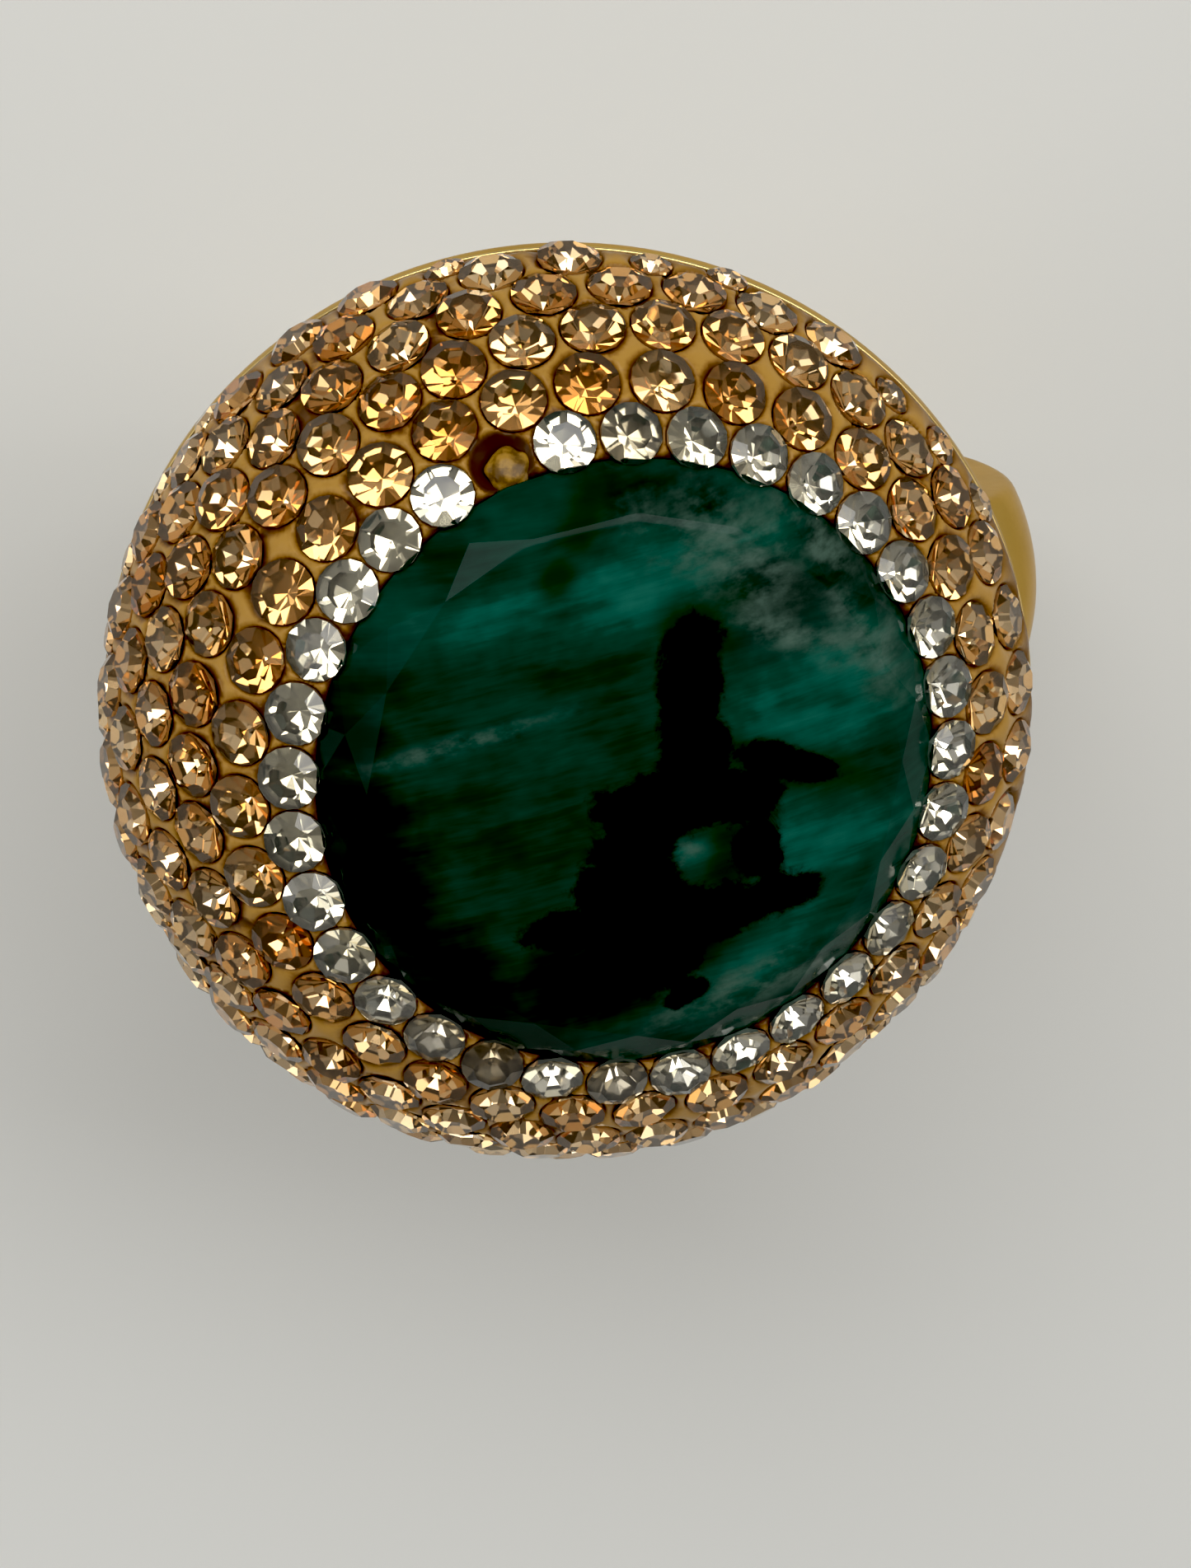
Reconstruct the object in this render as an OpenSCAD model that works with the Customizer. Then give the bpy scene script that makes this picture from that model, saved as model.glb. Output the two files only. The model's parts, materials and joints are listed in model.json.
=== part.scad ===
// Cocktail ring: a domed band, a soldered tray, and a leaning clay dome set with a
// round centre stone, one row of clear crystals and six rows of champagne crystals.
// Frame: origin at the centre of the finger bore, +Y along the finger, +Z towards the stone.

/* [Band] */
// Inside diameter of the band, the finger bore
bore_d = 19.0; // [17:0.5:21]
// Thickness of the band at its crown
band_t = 1.7; // [1.6:0.1:2.1]
// How far the band's domed outside rises over its edges
band_rise = 1.4; // [1:0.1:1.4]
// Width of the band under the stone
band_w_top = 7.6; // [6.4:0.2:9]
// Width of the band behind the finger
band_w_back = 4.8; // [4:0.2:6]
// Metal left between the finger bore and the flat that the tray is soldered to
seat_t = 0.6; // [0.5:0.05:0.7]
// Thickness of the solder between the band's flat and the tray
solder_t = 0.05; // [0.05:0.05:0.1]

/* [Tray] */
// Outside radius of the round tray
tray_r = 11.0; // [10.9:0.1:11.6]
// Thickness of the tray's floor
tray_floor_t = 0.3; // [0.2:0.05:0.3]
// Thickness of the tray's upright wall
tray_wall_t = 0.2; // [0.15:0.05:0.3]
// Height of the tray's wall above its floor
tray_wall_h = 0.2; // [0.1:0.05:0.2]
// Sideways place of the tray on the band
tray_x = -0.65; // [-1:0.05:0]

/* [Centre stone] */
// Radius of the stone at its girdle
stone_r = 7.2; // [6.8:0.1:7.4]
// Lean of the stone towards +X, in degrees
stone_lean = 12; // [8:1:14]
// Sideways place of the stone on the band
stone_x = 0.7; // [0.4:0.1:1]
// Height of the clay's leaning upper edge above the tray's underside, at its middle
stone_lift = 5.75; // [5.7:0.05:6]
// Height of the stone's bevelled edge above the girdle
bevel_h = 0.95; // [0.7:0.05:1.2]
// Radius at which the bevel meets the domed top
bevel_r = 6.0; // [5.6:0.1:6.4]
// Rise of the domed top above the bevel
top_rise = 0.75; // [0.4:0.05:1]
// How far the girdle sits below the clay's upper edge
stone_sink = 0.2; // [0.1:0.05:0.3]
// Depth of the stone's back below the girdle
back_h = 1.3; // [1:0.1:1.6]
// Thickness of the cement under the stone
cement_t = 0.15; // [0.1:0.05:0.3]

/* [Clay dome] */
// Radius of the dome's rounded flank
flank_r = 6.36; // [6:0.02:6.6]
// Angle on the flank at which the dome meets the stone
flank_top = 67; // [64:1:70]

/* [Crystals] */
// Diameter of a champagne crystal
champagne_d = 1.52; // [1.4:0.02:1.52]
// Diameter of a clear crystal
clear_d = 1.46; // [1.3:0.02:1.48]
// Diameter of the smaller champagne crystals that fill the last places above the tray
filler_d = 1.0; // [0.9:0.05:1.1]
// Distance from the stone's edge to the middle of the clear row
clear_gap = 0.62; // [0.6:0.01:0.7]
// Least clay left between crystals of neighbouring rows
row_gap = 0.03; // [0.02:0.01:0.06]
// Number of places round the clear row, and round champagne row 1
inner_places = 32; // [28:1:32]
// Number of places round each of champagne rows 2 to 6, if they went all the way
outer_places = 37; // [34:1:38]
// Place in the clear row that has lost its crystal
empty_place = 10; // [0:1:27]
// Hand-set unevenness, from none to full
unevenness = 1; // [0:0.1:1]

/* [Hidden] */

$fn = 96;
crystal_fn = 32;
reach = 40;
overlap = 0.01;

gold = [0.83, 0.66, 0.32];
solder_gold = [0.76, 0.62, 0.36];
clay_tan = [0.66, 0.51, 0.24];
cement_grey = [0.6, 0.6, 0.55];
emerald_green = [0.02, 0.22, 0.16];
resin_amber = [0.6, 0.4, 0.1];
clear_white = [0.92, 0.93, 0.94];
champagne = [0.8, 0.6, 0.36];

// Band: the outside of its profile is domed, in short straight steps across its width.
bore_r = bore_d / 2;
band_r = bore_r + band_t;
half_w = band_w_top / 2;
band_steps = 12;

// Levels, all above the centre of the finger bore
seat_z = bore_r + seat_t;
tray_z = seat_z + solder_t;
floor_z = tray_z + tray_floor_t;
rim_z = floor_z + tray_wall_h;
stone_z = tray_z + stone_lift;

// Solder fillets between the curved band and the flat tray
seat_half = sqrt(band_r * band_r - seat_z * seat_z);
fillet_reach = 1.5;
fillet_drop = 0.9;
fillet_r = 1.6;
solder_inset = 1.8;
solder_w = band_w_top - 2 * solder_inset;

// Stone: everything that leans with it is measured from the middle of its girdle.
girdle_top = 0.1;
girdle_bottom = -0.2;
back_r = 6.4;
top_h = girdle_top + bevel_h + top_rise;
top_r = (bevel_r * bevel_r + top_rise * top_rise) / (2 * top_rise);

// Clay: the flank's arc starts at the stone's edge.
flank_x = stone_r - flank_r * cos(flank_top);
flank_z = -flank_r * sin(flank_top);
clay_top = -0.12;

// Crystals: heights above and below the clay surface
girdle_h = 0.06;
crown_h = 0.2;
pavilion_h = 0.66;
table_share = 0.58;
rim_clearance = 0.04;
inner_start = -1.2;
outer_start = 4.5;
socket_h = pavilion_h * clear_d / champagne_d;
resin_h = 0.22;

// Hand-set unevenness of a crystal: along its row in degrees, tilt in degrees, and height
turn_jitter = 0.12;
tilt_jitter = 5;
lift_jitter = 0.02;

function wobble(place, seed) = unevenness * sin(place * 137.5 + seed * 71 + place * place * 17);

// A point on the flank, by its drop, the distance from the stone's edge down the flank
function phi_at(drop) = flank_top - drop * 180 / (PI * flank_r);
function rho_at(drop) = flank_x + flank_r * cos(phi_at(drop));
function w_at(drop) = flank_z + flank_r * sin(phi_at(drop));

// Row 0 is the clear row. Rows 1 to 6 are champagne.
function row_d(row) = row == 0 ? clear_d : champagne_d;
function row_places(row) = row < 2 ? inner_places : outer_places;
function row_start(row) = row < 2 ? inner_start : outer_start;

// Every second row is turned by half a place, and each place is a little off, as set by hand.
function turn_of(row, place) =
    row_start(row)
    + (place + (row % 2) / 2) * 360 / row_places(row)
    + turn_jitter * wobble(place, row);
function turn_between(a, b) = (a - b + 540) % 360 - 180;

// Each crystal settles against the ones above it, as close as its own size lets it.
function nest(turn, above, d) = max([
    for (a = above)
        let (across = abs(turn_between(turn, a[0])) * PI / 180 * rho_at(a[1] + d / 2))
            across < d ? a[1] + sqrt(d * d - across * across) : 0
]);
function settled(row) =
    let (above = row == 0 ? [] : settled(row - 1))
    let (d = row == 0 ? 0 : (row_d(row) + row_d(row - 1)) / 2 + row_gap)
    [
        for (place = [0:row_places(row) - 1])
            let (turn = turn_of(row, place))
                [turn, row == 0 ? clear_gap : nest(turn, above, d), place]
    ];

// Height of a crystal's lowest edge, which has to clear the tray's rim
function normal_z(turn, phi) = sin(phi) * cos(stone_lean) - cos(phi) * cos(turn) * sin(stone_lean);
function surface_z(turn, drop) =
    stone_z - rho_at(drop) * cos(turn) * sin(stone_lean) + w_at(drop) * cos(stone_lean);
function lowest_z(turn, drop, d) =
    surface_z(turn, drop) - d / 2 * sqrt(1 - pow(normal_z(turn, phi_at(drop)), 2));
function clears_rim(turn, drop, d) = lowest_z(turn, drop, d) > rim_z + rim_clearance;

// A row's full-size crystals, each as [turn, drop, place, diameter]
function full_crystals(row) = [
    for (spot = settled(row))
        if (clears_rim(spot[0], spot[1], row_d(row)) && (row > 0 || spot[2] != empty_place))
            [spot[0], spot[1], spot[2], row_d(row)]
];

// Smaller crystals in the places of a row that are too low for a full-size one
function filler_crystals(row) =
    let (above = settled(row - 1))
    let (d = (filler_d + row_d(row - 1)) / 2 + row_gap)
    [
        for (spot = settled(row))
            let (drop = nest(spot[0], above, d))
                if (!clears_rim(spot[0], spot[1], row_d(row)) && clears_rim(spot[0], drop, filler_d))
                    [spot[0], drop, spot[2], filler_d]
    ];
function empty_spot() = settled(0)[empty_place];

// Moves its children from the leaning frame, at the middle of the clay's upper edge, to the ring's.
module lean() {
    translate([stone_x, 0, stone_z])
        rotate([0, stone_lean, 0])
            children();
}

// Moves its children from the middle of the stone's girdle to the ring's frame.
module sunk_stone() {
    lean()
        translate([0, 0, -stone_sink])
            children();
}

// Stands its children on the clay surface, with +Z straight out of the clay.
module on_flank(turn, drop) {
    lean()
        rotate([0, 0, turn])
            translate([rho_at(drop), 0, w_at(drop)])
                rotate([0, 90 - phi_at(drop), 0])
                    children();
}

// A place in a row, tilted and raised a little, as set by hand.
module hand_set(row, spot) {
    on_flank(spot[0], spot[1])
        rotate([tilt_jitter * wobble(spot[2], row + 11), tilt_jitter * wobble(spot[2], row + 23), 0])
            translate([0, 0, lift_jitter * wobble(spot[2], row + 31)])
                children();
}

// Pointed-back crystal, with the lower edge of its girdle at z = 0.
module crystal(d) {
    r = d / 2;
    size = d / champagne_d;
    rotate_extrude($fn = crystal_fn)
        polygon([
            [0, -pavilion_h * size],
            [r, 0],
            [r, girdle_h],
            [table_share * r, girdle_h + crown_h * size],
            [0, girdle_h + crown_h * size],
        ]);
}

// Conical pit left by a pointed back, open above the clay.
module open_socket(d) {
    rotate_extrude($fn = crystal_fn)
        polygon([
            [0, -socket_h],
            [d / 2, 0],
            [d / 2, 1],
            [0, 1],
        ]);
}

module crystal_set(row, spots) {
    for (spot = spots)
        hand_set(row, spot)
            crystal(spot[3]);
}

module champagne_row(row) {
    color(champagne) {
        crystal_set(row, full_crystals(row));
        crystal_set(row, filler_crystals(row));
    }
}

// Stone outline from its back up to the height where the bevel ends.
module stone_profile() {
    intersection() {
        polygon([
            [0, -back_h],
            [back_r, -back_h],
            [stone_r, girdle_bottom],
            [stone_r, girdle_top],
            [bevel_r, girdle_top + bevel_h],
            [bevel_r, top_h + 1],
            [0, top_h + 1],
        ]);
        translate([0, top_h - top_r])
            circle(r = top_r, $fn = 360);
    }
}

module clay_profile() {
    intersection() {
        union() {
            translate([flank_x, flank_z])
                circle(r = flank_r, $fn = 180);
            translate([0, -2 * flank_r])
                square([flank_x, 2 * flank_r]);
        }
        translate([0, -2 * flank_r])
            square([2 * flank_r, 2 * flank_r + clay_top]);
    }
}

module band_solid() {
    rotate([90, 0, 0])
        rotate_extrude($fn = 180)
            polygon(concat(
                [[bore_r, -half_w]],
                [
                    for (step = [0:band_steps])
                        let (across = 2 * step / band_steps - 1)
                            [band_r - band_rise * across * across, half_w * across]
                ],
                [[bore_r, half_w]]
            ));
}

module shank() {
    color(gold)
        intersection() {
            band_solid();
            rotate([90, 0, 90])
                linear_extrude(height = reach, center = true)
                    polygon([
                        [-band_w_back / 2, -band_r - 1],
                        [band_w_back / 2, -band_r - 1],
                        [half_w, seat_z],
                        [-half_w, seat_z],
                    ]);
        }
}

// Thin solder under the tray, with a fillet where the band curves away on each side.
module solder_joint() {
    color(solder_gold) {
        translate([-seat_half, -solder_w / 2, seat_z])
            cube([2 * seat_half, solder_w, solder_t]);
        for (side = [0, 1])
            mirror([side, 0, 0])
                solder_fillet();
    }
}

module solder_fillet() {
    tip_x = seat_half + fillet_reach;
    difference() {
        translate([seat_half, -solder_w / 2, tray_z - fillet_drop])
            cube([fillet_reach, solder_w, fillet_drop]);
        rotate([90, 0, 0])
            cylinder(r = band_r, h = reach, center = true, $fn = 180);
        translate([tip_x, 0, tray_z - fillet_r])
            rotate([90, 0, 0])
                cylinder(r = fillet_r, h = reach, center = true, $fn = 180);
    }
}

module head_tray() {
    color(gold)
        translate([tray_x, 0, tray_z])
            difference() {
                cylinder(r = tray_r, h = rim_z - tray_z, $fn = 180);
                translate([0, 0, tray_floor_t])
                    cylinder(r = tray_r - tray_wall_t, h = reach, $fn = 180);
            }
}

// The stone with the cement under it, as the clay holds them.
module stone_seat() {
    rotate_extrude($fn = 180)
        stone_profile();
    translate([0, 0, -back_h - cement_t])
        cylinder(r = back_r, h = cement_t + overlap, $fn = 180);
}

// The clay is solid under the crystals, whose pointed backs are pressed into it.
// Only the place that lost its crystal is an open socket.
module clay_dome() {
    color(clay_tan)
        difference() {
            union() {
                intersection() {
                    lean()
                        rotate_extrude($fn = 180)
                            clay_profile();
                    translate([-reach, -reach, rim_z])
                        cube([2 * reach, 2 * reach, reach]);
                }
                translate([tray_x, 0, floor_z])
                    cylinder(r = tray_r - tray_wall_t, h = rim_z - floor_z, $fn = 180);
            }
            sunk_stone()
                stone_seat();
            hand_set(0, empty_spot())
                open_socket(clear_d);
        }
}

module stone_cement() {
    color(cement_grey)
        sunk_stone()
            translate([0, 0, -back_h - cement_t])
                cylinder(r = back_r, h = cement_t, $fn = 180);
}

module centre_stone() {
    color(emerald_green)
        sunk_stone()
            rotate_extrude($fn = 180)
                stone_profile();
}

// Glue left at the bottom of the socket that lost its crystal.
module socket_resin() {
    color(resin_amber)
        hand_set(0, empty_spot())
            translate([0, 0, -socket_h])
                cylinder(r1 = 0, r2 = clear_d / 2 * resin_h / socket_h, h = resin_h, $fn = crystal_fn);
}

module clear_row() {
    color(clear_white)
        crystal_set(0, full_crystals(0));
}

shank();
solder_joint();
head_tray();
clay_dome();
stone_cement();
centre_stone();
socket_resin();
clear_row();
champagne_row(1);  // champagne_row_1
champagne_row(2);  // champagne_row_2
champagne_row(3);  // champagne_row_3
champagne_row(4);  // champagne_row_4
champagne_row(5);  // champagne_row_5
champagne_row(6);  // champagne_row_6
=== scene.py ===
import json
import math
import random

import bmesh
import bpy
import numpy as np
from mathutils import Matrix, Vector, geometry, noise


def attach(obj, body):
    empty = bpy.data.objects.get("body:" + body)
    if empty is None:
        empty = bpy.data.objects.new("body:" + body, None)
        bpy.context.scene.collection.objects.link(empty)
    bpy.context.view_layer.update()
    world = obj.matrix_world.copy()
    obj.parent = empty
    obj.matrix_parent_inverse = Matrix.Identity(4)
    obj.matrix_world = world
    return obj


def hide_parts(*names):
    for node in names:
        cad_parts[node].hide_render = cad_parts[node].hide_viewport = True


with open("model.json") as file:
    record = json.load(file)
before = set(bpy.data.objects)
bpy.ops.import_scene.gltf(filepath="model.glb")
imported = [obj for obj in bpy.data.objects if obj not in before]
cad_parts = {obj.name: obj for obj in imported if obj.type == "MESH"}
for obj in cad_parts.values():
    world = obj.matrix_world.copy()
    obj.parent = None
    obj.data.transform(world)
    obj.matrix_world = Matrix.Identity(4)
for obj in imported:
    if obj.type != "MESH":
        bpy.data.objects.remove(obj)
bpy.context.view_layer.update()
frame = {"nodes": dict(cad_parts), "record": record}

# Lengths below are in millimetres. Meshes are scaled to metres as they are made.
MM = 0.001
# Lengths too small to see, as margins when points are sorted by where they lie
THIN = 0.01
SLACK = 0.02
CHAMPAGNE_ROWS = [f"champagne_row_{row}" for row in range(1, 7)]


# ---------------------------------------------------------------- reading the frame

def cad_points(node):
    """The points of a CAD node."""
    return np.array([v.co for v in frame["nodes"][node].data.vertices]) / MM


def cad_solids(node):
    """The points of each separate solid in a CAD node."""
    bm = bmesh.new()
    bm.from_mesh(frame["nodes"][node].data)
    bmesh.ops.remove_doubles(bm, verts=bm.verts, dist=1e-7)
    seen = set()
    solids = []
    for first in bm.verts:
        if first in seen:
            continue
        seen.add(first)
        todo = [first]
        found = []
        while todo:
            vert = todo.pop()
            found.append(vert.co.copy())
            for edge in vert.link_edges:
                other = edge.other_vert(vert)
                if other not in seen:
                    seen.add(other)
                    todo.append(other)
        solids.append(np.array(found) / MM)
    bm.free()
    return solids


class Turned:
    """Place and main sizes of a solid of revolution, measured from its lower rim edge."""

    def __init__(self, points, tip_down):
        middle = points.mean(axis=0)
        axis = np.linalg.eigh(np.cov((points - middle).T))[1][:, 0]
        along = (points - middle) @ axis
        out = np.linalg.norm(points - middle - np.outer(along, axis), axis=1)
        rim = along[out > 0.995 * out.max()]
        flip = rim.mean() * 2 < along.max() + along.min() if tip_down else axis[2] < 0
        if flip:
            axis = -axis
            along = -along
            rim = -rim
        self.axis = axis
        self.base = middle + axis * rim.min()
        self.radius = out.max()
        self.rim = rim.max() - rim.min()
        self.top = along.max() - rim.min()
        self.depth = rim.min() - along.min()
        self.foot_radius = out[along < along.min() + 0.01].max()
        side = np.cross((0, 1, 0), axis)
        self.u = side / np.linalg.norm(side)
        self.v = np.cross(axis, self.u)

    def local(self, points):
        """Points as (along u, along v, along the axis)."""
        return (points - self.base) @ np.column_stack([self.u, self.v, self.axis])

    def world(self, points):
        """The reverse of local."""
        return self.base + np.asarray(points) @ np.array([self.u, self.v, self.axis])


def crystals_in(node):
    """The crystals of a row."""
    return [Turned(points, tip_down=True) for points in cad_solids(node)]


stone = Turned(cad_points("centre_stone"), tip_down=False)
clear = crystals_in("clear_row")
champagne = {row: crystals_in(row) for row in CHAMPAGNE_ROWS}
crystals = clear + [one for row in CHAMPAGNE_ROWS for one in champagne[row]]
resin = Turned(cad_points("socket_resin"), tip_down=True)

tray_points = cad_points("head_tray")
tray_low = tray_points.min(axis=0)
tray_high = tray_points.max(axis=0)
tray_x = (tray_low[0] + tray_high[0]) / 2
tray_r = (tray_high[0] - tray_low[0]) / 2
rim_z = tray_high[2]
tray_rim = tray_points[tray_points[:, 2] > rim_z - 0.001]
tray_wall_in = np.hypot(tray_rim[:, 0] - tray_x, tray_rim[:, 1]).min()
floor_z = cad_points("clay_dome").min(axis=0)[2]


# ---------------------------------------------------------------- small helpers

def new_mesh(name, points, faces, smooth):
    """A mesh object from points in millimetres."""
    mesh = bpy.data.meshes.new(name)
    mesh.from_pydata((np.asarray(points) * MM).tolist(), [], faces)
    mesh.polygons.foreach_set("use_smooth", [smooth] * len(mesh.polygons))
    mesh.update()
    piece = bpy.data.objects.new(name, mesh)
    bpy.context.scene.collection.objects.link(piece)
    return piece


def finish_piece(piece, nodes, slot, *materials):
    """Gives a piece its materials, hangs it from the root body and hides the CAD nodes it stands for. slot
    is not used.
    """
    for material in materials:
        piece.data.materials.append(material)
    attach(piece, "root")
    if nodes:
        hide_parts(*nodes)


def attribute(mesh, name, domain, kind, values):
    """Stores one value a point or a face."""
    layer = mesh.attributes.new(name, kind, domain)
    key = "vector" if kind == "FLOAT_VECTOR" else "value"
    layer.data.foreach_set(key, np.asarray(values, dtype=np.float32).ravel())


def ring(radius, height, count, start=0.0):
    """Points on a level circle."""
    turns = start + 2 * math.pi * np.arange(count) / count
    return np.column_stack([radius * np.cos(turns), radius * np.sin(turns), np.full(count, height)])


def revolve(profile, count):
    """Points and faces of a profile of (radius, height) turned about Z. Its ends lie on the axis."""
    points = [np.array([[0.0, 0.0, profile[0][1]]])]
    for radius, height in profile[1:-1]:
        points.append(ring(radius, height, count))
    points.append(np.array([[0.0, 0.0, profile[-1][1]]]))
    faces = []
    rings = len(profile) - 2
    last = rings * count + 1
    for step in range(count):
        after = (step + 1) % count
        faces.append((0, 1 + after, 1 + step))
        faces.append((last, last - count + step, last - count + after))
        for level in range(rings - 1):
            low = 1 + level * count
            high = low + count
            faces.append((low + step, low + after, high + after, high + step))
    return np.vstack(points), faces


def rounded(corners, radius, steps=4):
    """An open profile with its inner corners rounded."""
    path = [corners[0]]
    for before, corner, after in zip(corners, corners[1:], corners[2:]):
        here = Vector(corner)
        back = Vector(before) - here
        ahead = Vector(after) - here
        cut = min(radius, back.length / 2, ahead.length / 2)
        start = here + back.normalized() * cut
        end = here + ahead.normalized() * cut
        for step in range(steps + 1):
            share = step / steps
            path.append(tuple(start.lerp(here, share).lerp(here.lerp(end, share), share)))
    path.append(corners[-1])
    return path


# ---------------------------------------------------------------- node helpers

class Shader:
    """A node material with one Principled shader."""

    def __init__(self, name, **sockets):
        self.material = bpy.data.materials.new(name)
        self.material.use_nodes = True
        self.tree = self.material.node_tree
        self.shader = self.tree.nodes["Principled BSDF"]
        for socket, value in sockets.items():
            self.shader.inputs[socket.replace("_", " ")].default_value = value

    def node(self, kind, **values):
        """A new node. Names of properties and of inputs are both taken."""
        made = self.tree.nodes.new(kind)
        for key, value in values.items():
            if hasattr(made, key):
                setattr(made, key, value)
            else:
                self.set(made.inputs[key.replace("_", " ")], value)
        return made

    def set(self, socket, value):
        """Links or sets one input."""
        if isinstance(value, bpy.types.NodeSocket):
            self.tree.links.new(value, socket)
        else:
            socket.default_value = value

    def math(self, operation, first, second=0.0, third=0.0):
        made = self.tree.nodes.new("ShaderNodeMath")
        made.operation = operation
        for socket, value in zip(made.inputs, (first, second, third)):
            self.set(socket, value)
        return made.outputs[0]

    def vector(self, operation, first, second=(0.0, 0.0, 0.0)):
        made = self.tree.nodes.new("ShaderNodeVectorMath")
        made.operation = operation
        self.set(made.inputs[0], first)
        self.set(made.inputs[1], second)
        return made.outputs["Value" if operation == "LENGTH" else "Vector"]

    def mix(self, share, first, second):
        made = self.tree.nodes.new("ShaderNodeMix")
        made.data_type = "RGBA"
        self.set(made.inputs["Factor"], share)
        self.set(made.inputs[6], first)
        self.set(made.inputs[7], second)
        return made.outputs[2]

    def ramp(self, value, *stops):
        """A value or a colour that changes along value. Each stop is (place, colour)."""
        made = self.tree.nodes.new("ShaderNodeValToRGB")
        self.set(made.inputs[0], value)
        elements = made.color_ramp.elements
        while len(elements) < len(stops):
            elements.new(1.0)
        for element, (place, colour) in zip(elements, stops):
            element.position = place
            element.color = colour
        return made.outputs[0]

    def between(self, value, low, high):
        """0 at low and 1 at high, smooth and clamped."""
        made = self.tree.nodes.new("ShaderNodeMapRange")
        made.interpolation_type = "SMOOTHSTEP"
        self.set(made.inputs["Value"], value)
        made.inputs["From Min"].default_value = low
        made.inputs["From Max"].default_value = high
        return made.outputs[0]

    def noise(self, place, scale, detail=2.0, rough=0.5, warp=0.0):
        made = self.node(
            "ShaderNodeTexNoise", Vector=place, Scale=scale, Detail=detail,
            Roughness=rough, Distortion=warp,
        )
        return made.outputs[0]

    def place(self):
        """The place in the ring's frame, in millimetres."""
        return self.scaled(self.tree.nodes.new("ShaderNodeTexCoord").outputs["Object"], 1 / MM)

    def scaled(self, vector, factor):
        made = self.tree.nodes.new("ShaderNodeVectorMath")
        made.operation = "SCALE"
        self.set(made.inputs[0], vector)
        made.inputs["Scale"].default_value = factor
        return made.outputs[0]

    def stored(self, name):
        """A stored value of the mesh, as (number, vector)."""
        made = self.tree.nodes.new("ShaderNodeAttribute")
        made.attribute_name = name
        return made.outputs["Fac"], made.outputs["Vector"]

    def bump(self, height, distance, strength=1.0):
        made = self.tree.nodes.new("ShaderNodeBump")
        made.inputs["Strength"].default_value = strength
        made.inputs["Distance"].default_value = distance * MM
        self.set(made.inputs["Height"], height)
        self.set(self.shader.inputs["Normal"], made.outputs[0])

    def use(self, socket, value):
        self.set(self.shader.inputs[socket], value)


# ---------------------------------------------------------------- materials

def gold_metal():
    """Worn polished brass: fine scratches, faint tarnish in patches."""
    s = Shader("gold_metal", Metallic=1.0, Specular_Tint=(0.80, 0.62, 0.36, 1))
    place = s.place()
    patches = s.noise(place, 0.35, 3.0, 0.5)
    fine = s.noise(s.vector("MULTIPLY", place, (1.0, 9.0, 1.0)), 3.0, 3.0, 0.6)
    colour = s.mix(s.between(patches, 0.42, 0.68), (0.62, 0.45, 0.19, 1), (0.52, 0.37, 0.15, 1))
    s.use("Base Color", colour)
    s.use("Roughness", s.math("MULTIPLY_ADD", fine, 0.16, 0.14))
    s.bump(fine, 0.004, 0.5)
    return s.material


def solder_metal():
    """Satin solder, a little greyer than the brass."""
    s = Shader("solder_metal", Metallic=1.0)
    patches = s.noise(s.place(), 1.8, 5.0, 0.65)
    s.use("Base Color", s.mix(patches, (0.62, 0.50, 0.30, 1), (0.80, 0.68, 0.44, 1)))
    s.use("Roughness", s.math("MULTIPLY_ADD", patches, 0.3, 0.25))
    s.bump(patches, 0.03, 0.6)
    return s.material


def clay_gloss():
    """Cured epoxy clay, glossy, with painted shade: darker and more amber where it sinks into crevices and
    pits, and towards the tray.
    """
    s = Shader(
        "clay_gloss", Coat_Weight=0.12, Coat_Roughness=0.1, Specular_IOR_Level=0.3,
        Specular_Tint=(0.90, 0.62, 0.35, 1))
    place = s.place()
    height, _ = s.stored("clay_height")
    edge, _ = s.stored("clay_edge")
    cloud = s.noise(place, 0.8, 3.0, 0.55)
    grain = s.noise(place, 8.0, 3.0, 0.6)
    # Painted shade: the lower the clay lies (the crevices round the crystals and the pits), the darker its
    # colour; grain and cloud add the clay's own uneven tone.
    level = s.math("MULTIPLY_ADD", grain, 0.06, s.math("SUBTRACT", height, 0.03))
    level = s.math("MULTIPLY_ADD", cloud, 0.09, s.math("SUBTRACT", level, 0.045))
    tone_and_crevice_shade = s.ramp(
        s.between(level, -0.09, 0.10),
        (0.0, (0.045, 0.015, 0.002, 1)),
        (0.45, (0.145, 0.058, 0.006, 1)),
        (0.78, (0.30, 0.150, 0.026, 1)),
        (1.0, (0.42, 0.235, 0.052, 1)),
    )
    # Painted shade: within about a millimetre of the tray's rim the clay is mixed towards dark brown, with
    # a cloudy border.
    tray_shade = s.math("SUBTRACT", 1.0, s.between(s.math("MULTIPLY_ADD", cloud, -0.9, edge), -0.2, 0.9))
    shaded_clay = s.mix(s.math("MULTIPLY", tray_shade, 0.9), tone_and_crevice_shade, (0.115, 0.048, 0.008, 1))
    s.use("Base Color", shaded_clay)
    s.use("Roughness", s.math("MULTIPLY_ADD", grain, 0.2, 0.24))
    s.bump(grain, 0.012, 0.4)
    return s.material


def cement_matte():
    """Matte cement with a fine grain."""
    s = Shader("cement_matte", Roughness=0.8)
    grain = s.noise(s.place(), 4.0, 4.0, 0.6)
    s.use("Base Color", s.mix(grain, (0.42, 0.41, 0.36, 1), (0.66, 0.65, 0.58, 1)))
    s.bump(grain, 0.02, 0.5)
    return s.material


def resin_gloss():
    """Amber glue with darker cloud."""
    s = Shader("resin_gloss", Roughness=0.3, Specular_IOR_Level=0.25)
    cloud = s.noise(s.place(), 3.0, 3.0, 0.6)
    s.use("Base Color", s.mix(s.between(cloud, 0.35, 0.65), (0.12, 0.06, 0.008, 1), (0.36, 0.20, 0.028, 1)))
    s.bump(cloud, 0.03, 0.4)
    return s.material


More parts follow.
